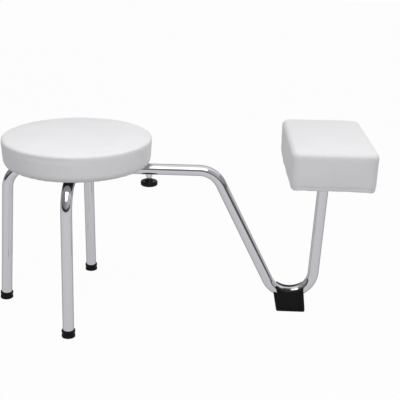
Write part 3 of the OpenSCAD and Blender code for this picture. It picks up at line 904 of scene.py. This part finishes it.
@dataclass
class DustCloth:
    """A thin black cloth, stretched flat over a board's underside and stapled round its edge."""

    name: str
    node: str
    board: str
    body: Body
    centre_x: float
    half: tuple[float, float]
    corner: float
    low_z: float
    thick: float = 0.4 * MM
    sag: float = 1.3 * MM
    taut: float = 0.35
    ripple: Ripple = Ripple(24, 0.5)
    cuts: int = 24
    longest: float = 20 * MM
    gap: float = 0.05 * MM
    held_width: float = 14 * MM
    free_width: float = 22 * MM
    edge_width: float = 26 * MM
    staple_gap: float = 27 * MM
    staple_size: tuple[float, float, float] = (10 * MM, 1.1 * MM, 0.5 * MM)
    staple_in: float = 4 * MM
    staple_clear: float = 22 * MM
    staple_sunk: float = 0.5 * MM
    staple_round: float = 0.2 * MM
    staple_lean: float = 0.12

    @property
    def area(self) -> float:
        """The cloth's flat area."""
        return 4 * self.half[0] * self.half[1] - (4 - math.pi) * self.corner**2

    def held_by(self, x: float, y: float) -> float:
        """Gives the distance to the nearest tube or plate that holds the cloth up."""
        raise NotImplementedError

    def inward(self, x: float, y: float) -> float:
        """Gives the distance to the cloth's straight edges."""
        return min(self.half[0] - abs(x), self.half[1] - abs(y))

    def hang(self, x: float, y: float) -> float:
        """Says how far the cloth would hang at a place.

        The cloth has points on its rim alone, so it is flat within. Only the rounded corners of a
        straight-edged cloth hang, by a few hundredths of a millimetre.

        Args:
            x: Place along X from the cloth's middle.
            y: Place along Y from the cloth's middle.

        Returns:
            The depth, nothing at a straight edge and at the holds.
        """
        free = smooth(self.held_by(x, y), self.held_width, self.free_width)
        free *= smooth(self.inward(x, y), 0.0, self.edge_width)
        share = 0.5 + self.ripple.at(Vector((x, y, 0)))
        return self.sag * free * (self.taut + (1 - self.taut) * share)

    def sheet(self) -> bpy.types.Object:
        """Cuts the cloth, lets its rim hang where nothing holds it, and gives it its thickness.

        Returns:
            The cloth.
        """
        edit = bmesh.new()
        bmesh.ops.create_grid(edit, x_segments=1, y_segments=1, size=1)
        bmesh.ops.scale(edit, vec=(self.half[0], self.half[1], 1), verts=edit.verts)
        round_off(edit, edit.verts[:], self.corner, self.cuts, "VERTICES")
        sides = [e for e in edit.edges if e.calc_length() > self.longest]
        bmesh.ops.subdivide_edges(edit, edges=sides, cuts=self.cuts)
        bmesh.ops.remove_doubles(edit, verts=edit.verts, dist=NEAR)
        for vertex in edit.verts:
            vertex.co.z = -self.hang(vertex.co.x, vertex.co.y)
        bmesh.ops.solidify(edit, geom=edit.faces[:], thickness=self.thick)
        low = max(v.co.z for v in edit.verts)
        drop = (self.centre_x, 0, self.low_z - self.gap - low)
        bmesh.ops.translate(edit, vec=drop, verts=edit.verts)
        bmesh.ops.recalc_face_normals(edit, faces=edit.faces)
        return as_object(self.name, edit)

    def staples(self) -> bpy.types.Object:
        """Drives flat-wire staples round the cloth's edge, clear of the tubes.

        Returns:
            All the staples, as one object.
        """
        edit = bmesh.new()
        width, length = (2 * (h - self.staple_in) for h in self.half)
        corner = self.corner - self.staple_in
        straights = (width - 2 * corner, length - 2 * corner)
        around = 2 * sum(straights) + 2 * math.pi * corner
        count = round(around / self.staple_gap)
        for i in range(count):
            x, y, turn = self.along(around * (i + 0.5) / count, straights, corner)
            if self.held_by(x, y) < self.staple_clear:
                continue
            wire = bmesh.ops.create_cube(edit, size=1)["verts"]
            bmesh.ops.scale(edit, vec=self.staple_size, verts=wire)
            edges = list(dict.fromkeys(e for v in wire for e in v.link_edges))
            rounded = round_off(edit, edges, self.staple_round, 2)
            lean = turn + self.staple_lean * noise.noise(Vector((i * 3.7, 1.3, 0)))
            bmesh.ops.rotate(edit, cent=(0, 0, 0), matrix=Matrix.Rotation(lean, 3, "Z"), verts=rounded)
            place = (self.centre_x + x, y, self.low_z - self.staple_sunk - self.staple_size[2] / 2)
            bmesh.ops.translate(edit, vec=place, verts=rounded)
        return as_object(self.name.replace("dust_cloth", "staples"), edit)

    @staticmethod
    def along(run: float, straights: tuple[float, float], corner: float) -> tuple[float, float, float]:
        """Finds a place on a rounded rectangle.

        Args:
            run: Distance along it from the middle of its +X side.
            straights: Lengths of its straight parts along X and Y.
            corner: Radius of its corners.

        Returns:
            X and Y from its middle, and the direction of travel.
        """
        turn, x, y = math.pi / 2, straights[0] / 2 + corner, -straights[1] / 2
        for part in range(8):
            straight = part % 2 == 0
            length = straights[1 - part // 2 % 2] if straight else corner * math.pi / 2
            gone = min(run, length)
            if straight:
                x, y = x + gone * math.cos(turn), y + gone * math.sin(turn)
            else:
                after = turn + gone / corner
                x += corner * (math.sin(after) - math.sin(turn))
                y -= corner * (math.cos(after) - math.cos(turn))
                turn = after
            run -= gone
            if run <= 0:
                break
        return x, y, turn

    def build(self) -> None:
        """Makes the cloth and its staples."""
        cloth = self.sheet()
        cloth.data.materials.append(DUST_CLOTH.material())
        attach(cloth, self.body.value)
        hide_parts(self.node)
        self.area
        wires = self.staples()
        wires.data.materials.append(STEEL.material())
        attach(wires, self.body.value)
        faces = len(cloth.data.polygons) + len(wires.data.polygons)
        LOG.info("%s and its staples: %d faces", self.name, faces)


@dataclass
class SeatDustCloth(DustCloth):
    """The round cloth under the seat, which lies on the crossed tubes."""

    name: str = "seat_dust_cloth_sheet"
    node: str = "seat_dust_cloth"
    board: str = "seat_board"
    body: Body = Body.STOOL
    centre_x: float = SEAT_X
    half: tuple[float, float] = (144 * MM, 144 * MM)
    corner: float = 143.9 * MM
    low_z: float = 355 * MM

    def held_by(self, x: float, y: float) -> float:
        """Gives the distance to the nearer of the two crossed tubes."""
        return min(abs(x), abs(y))

    def inward(self, x: float, y: float) -> float:
        """Gives the distance to the cloth's round edge."""
        return self.half[0] - math.hypot(x, y)


@dataclass
class PadDustCloth(DustCloth):
    """The cloth under the foot pad's board, held up by the steel plate."""

    name: str = "pad_dust_cloth_sheet"
    node: str = "pad_dust_cloth"
    board: str = "pad_board"
    body: Body = Body.ARM
    centre_x: float = PAD_X
    half: tuple[float, float] = (65 * MM, 123 * MM)
    corner: float = 8 * MM
    low_z: float = 349 * MM
    plate: tuple[float, float] = (60 * MM, 46 * MM)
    plate_away: float = 10 * MM

    def held_by(self, x: float, y: float) -> float:
        """Gives the distance to the steel plate, which lets go of the cloth sooner than a tube."""
        away = (max(0.0, abs(v) - half) for v, half in zip((x, y), self.plate))
        return math.hypot(*away) + self.plate_away


@dataclass
class TubeFrame:
    """The chromed tubes of the stool and the arm, and what is welded to them."""

    tubes: tuple[str, ...] = (
        "front_back_leg_tube", "left_leg_tube", "receiver_tube", "arm_tube", "clamp_nut",
    )

    def build(self) -> None:
        """Plates the tubes."""
        finish_nodes(CHROME, *self.tubes)


@dataclass
class RubberFeet:
    """The three foot caps and the floor block."""

    parts: tuple[str, ...] = ("front_foot_cap", "back_foot_cap", "left_foot_cap", "floor_block")

    def build(self) -> None:
        """Gives the rubber parts their finish."""
        finish_nodes(RUBBER, *self.parts)


@dataclass
class Clamp:
    """The knob, its stud and the nylon tip."""

    def build(self) -> None:
        """Gives each clamp part its finish."""
        finish_nodes(KNOB, "clamp_knob")
        finish_nodes(STEEL, "clamp_stud")
        finish_nodes(NYLON, "clamp_tip")


@dataclass
class Hardware:
    """Bolts, washers, tee nuts, the pad plate and the tube inside the receiver."""

    steel: tuple[str, ...] = (
        "seat_tee_nuts", "seat_bolts", "saddle_washers", "insert_tube", "pad_plate", "pad_screws",
        "pad_tee_nuts", "block_screw", "block_rivet_nut",
    )

    def build(self) -> None:
        """Gives the steel parts, the boards and the hidden foam their finishes."""
        finish_nodes(STEEL, *self.steel)
        finish_nodes(PLYWOOD, "seat_board", "pad_board")
        finish_nodes(FOAM, "seat_foam", "pad_foam")
        finish_nodes(DUST_CLOTH, "seat_dust_cloth", "pad_dust_cloth")
        finish_nodes(VINYL, "seat_cover", "pad_cover")


@dataclass
class Studio:
    """The pale floor, the soft overhead light and the camera."""

    eye: tuple[float, float, float] = (0.069295, -1.826392, 0.920437)
    yaw: float = -0.048848
    pitch: float = 0.35121
    roll: float = 0.01474
    focal_px: float = 829.784
    frame_px: float = 400.0
    offset_px: tuple[float, float] = (-32.1, 6.637)
    sensor: float = 36.0
    clip: tuple[float, float] = (0.05, 60.0)
    lamp_side: float = 1.6
    lamp_z: float = 1.8
    lamp_watts: float = 21.5
    lamp_xy: tuple[float, float] = (-0.1, -1.35)
    floor_side: float = 14.0
    floor_colour: str = "#B6B6B8"
    floor_seen: float = 0.97
    floor_mirrored: float = 0.6
    wall: tuple[float, float] = (0.40, 0.72)
    wall_sides: tuple[float, float] = (0.55, 1.35)
    wall_turn: tuple[float, float] = (-0.6, 0.6)
    wall_foot: float = 0.12
    foot_edge: tuple[float, float] = (0.08, 0.22)
    foot_end: tuple[float, float] = (-0.3, 0.3)
    ceiling_lean: float = 0.25
    ceiling_edge: tuple[float, float] = (0.74, 0.84)

    def camera(self) -> None:
        """Sets up the camera at the photo's angle."""
        forward = Vector((
            math.sin(self.yaw) * math.cos(self.pitch),
            math.cos(self.yaw) * math.cos(self.pitch),
            -math.sin(self.pitch),
        ))
        level = Vector((math.cos(self.yaw), -math.sin(self.yaw), 0))
        over = level.cross(forward)
        right = level * math.cos(self.roll) + over * math.sin(self.roll)
        up = over * math.cos(self.roll) - level * math.sin(self.roll)
        data = bpy.data.cameras.new("camera")
        data.sensor_width, data.sensor_fit = self.sensor, "HORIZONTAL"
        data.lens = self.focal_px / self.frame_px * self.sensor
        data.shift_x = -self.offset_px[0] / self.frame_px
        data.shift_y = self.offset_px[1] / self.frame_px
        data.clip_start, data.clip_end = self.clip
        camera = bpy.data.objects.new("camera", data)
        turn = Matrix((right, up, -forward)).transposed().to_4x4()
        camera.matrix_world = Matrix.Translation(self.eye) @ turn
        bpy.context.scene.collection.objects.link(camera)
        bpy.context.scene.camera = camera

    def lamp(self) -> None:
        """Hangs one large soft lamp over the object."""
        data = bpy.data.lights.new("overhead_softbox", "AREA")
        data.shape, data.size = "SQUARE", self.lamp_side
        data.energy = self.lamp_watts
        lamp = bpy.data.objects.new("overhead_softbox", data)
        lamp.location = (*self.lamp_xy, self.lamp_z)
        bpy.context.scene.collection.objects.link(lamp)

    def floor(self) -> None:
        """Lays the pale floor, white to the camera and dimmer in the chrome, with a soft shadow."""
        edit = bmesh.new()
        bmesh.ops.create_grid(edit, x_segments=1, y_segments=1, size=self.floor_side / 2)
        plane = as_object("studio_floor", edit)
        material = bpy.data.materials.new("white_studio_floor")
        material.use_nodes = True
        tree = material.node_tree
        shader = tree.nodes["Principled BSDF"]
        shader.inputs["Base Color"].default_value = linear(self.floor_colour)
        shader.inputs["Roughness"].default_value = 0.9
        shader.inputs["Specular IOR Level"].default_value = 0.1
        glow = add(tree, "Emission", {"Color": linear("#FFFFFF"), "Strength": 1.0})
        path = add(tree, "LightPath").outputs
        seen = combine(tree, "MULTIPLY", path["Is Camera Ray"], self.floor_seen)
        mirrored = combine(tree, "MULTIPLY", path["Is Glossy Ray"], self.floor_mirrored)
        share = combine(tree, "MAXIMUM", seen, mirrored)
        mix = add(tree, "MixShader", {0: share, 1: shader.outputs[0], 2: glow.outputs[0]})
        tree.links.new(mix.outputs[0], tree.nodes["Material Output"].inputs["Surface"])
        plane.data.materials.append(material)

    def surroundings(self) -> None:
        """Makes the room: a bright ceiling, and grey walls, dark at the foot on the camera's side."""
        world = bpy.data.worlds.new("studio")
        world.use_nodes = True
        bpy.context.scene.world = world
        tree = world.node_tree
        direction = add(tree, "TexCoord").outputs["Generated"]
        part = add(tree, "SeparateXYZ", {"Vector": direction}).outputs
        wall = between(tree, part["Y"], *self.wall, *self.wall_turn)
        foot = between(tree, part["Z"], self.wall_foot, 1.0, *self.foot_edge)
        behind = between(tree, part["Y"], 0.0, 1.0, *self.foot_end)
        wall = combine(tree, "MULTIPLY", wall, combine(tree, "MAXIMUM", foot, behind))
        side = between(tree, part["X"], *self.wall_sides, *self.wall_turn)
        wall = combine(tree, "MULTIPLY", wall, side)
        lean = combine(tree, "MULTIPLY", part["Y"], self.ceiling_lean)
        height = combine(tree, "ADD", part["Z"], lean)
        ceiling = between(tree, height, 0.0, 1.0, *self.ceiling_edge)
        room = add(tree, "Mix", {"Factor": ceiling, 2: wall, 3: 1.0}, data_type="FLOAT")
        lit = add(tree, "Background", {"Color": linear("#FFFFFF"), "Strength": room.outputs[0]})
        white = add(tree, "Background", {"Color": linear("#FFFFFF"), "Strength": 1.0})
        camera_ray = add(tree, "LightPath").outputs["Is Camera Ray"]
        mix = add(tree, "MixShader", {0: camera_ray, 1: lit.outputs[0], 2: white.outputs[0]})
        tree.links.new(mix.outputs[0], tree.nodes["World Output"].inputs["Surface"])

    def build(self) -> None:
        """Sets up the whole studio."""
        bpy.context.scene.view_settings.view_transform = "Standard"
        self.camera()
        self.lamp()
        self.floor()
        self.surroundings()


def main() -> None:
    """Builds the studio and every sub-assembly in order."""
    logging.basicConfig(level=logging.INFO, format="%(message)s")
    Studio().build()
    for part in (TubeFrame(), RubberFeet(), Clamp(), Hardware(), SeatDustCloth(), PadDustCloth()):
        part.build()
    for soft in (RoundSeat(), FootPad()):
        soft.build()


if __name__ == "__main__":
    main()
